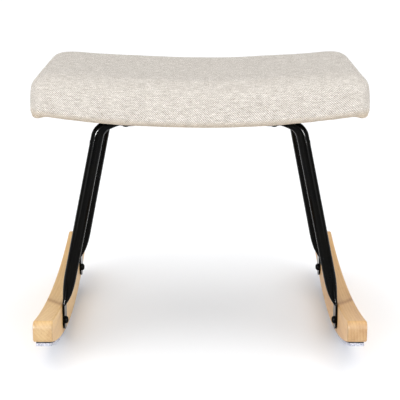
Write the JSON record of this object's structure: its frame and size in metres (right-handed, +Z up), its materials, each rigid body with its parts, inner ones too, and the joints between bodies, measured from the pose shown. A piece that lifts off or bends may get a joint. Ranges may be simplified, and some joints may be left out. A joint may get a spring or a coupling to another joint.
{
  "type": "rocking footstool",
  "caption": "Upholstered rocking footstool: saddle-shaped padded seat on splayed bent steel tube legs bolted to curved wooden rockers with felt strips.",
  "frame": {"origin": "on the floor, under the middle of the bounding box, which is the middle of the rockers' length", "axes": "+X to the right as seen from the front, along the seat's width; +Y to the back, along the rockers; +Z up"},
  "size_m": [0.58, 0.566, 0.4928],
  "materials": {
    "seat_fabric": "light beige melange twill, matt, woven",
    "foam": "open-cell polyurethane foam",
    "plywood": "bent plywood, sanded",
    "dust_cloth": "black non-woven",
    "bright_steel": "zinc plated",
    "tube_paint": "gloss black powder coat",
    "bolt_black": "black oxide, satin",
    "rocker_wood": "honey beech, satin lacquer",
    "adhesive": "black foam adhesive, matt",
    "strip_felt": "pale pressed felt"
  },
  "bodies": {
    "root": {"seat_cover": "seat_fabric", "seat_foam": "foam", "seat_board": "plywood", "dust_cover": "dust_cloth", "dust_cover_staples": "bright_steel", "left_front_leg": "tube_paint", "left_front_seat_bolt": "bolt_black", "left_front_tee_nut": "bright_steel", "left_front_threaded_insert": "bright_steel", "left_front_rocker_bolt": "bolt_black", "left_back_leg": "tube_paint", "left_back_seat_bolt": "bolt_black", "left_back_tee_nut": "bright_steel", "left_back_threaded_insert": "bright_steel", "left_back_rocker_bolt": "bolt_black", "right_front_leg": "tube_paint", "right_front_seat_bolt": "bolt_black", "right_front_tee_nut": "bright_steel", "right_front_threaded_insert": "bright_steel", "right_front_rocker_bolt": "bolt_black", "right_back_leg": "tube_paint", "right_back_seat_bolt": "bolt_black", "right_back_tee_nut": "bright_steel", "right_back_threaded_insert": "bright_steel", "right_back_rocker_bolt": "bolt_black", "left_rocker": "rocker_wood", "left_strip_adhesive": "adhesive", "left_floor_strip": "strip_felt", "right_rocker": "rocker_wood", "right_strip_adhesive": "adhesive", "right_floor_strip": "strip_felt"}
  },
  "joints": []
}
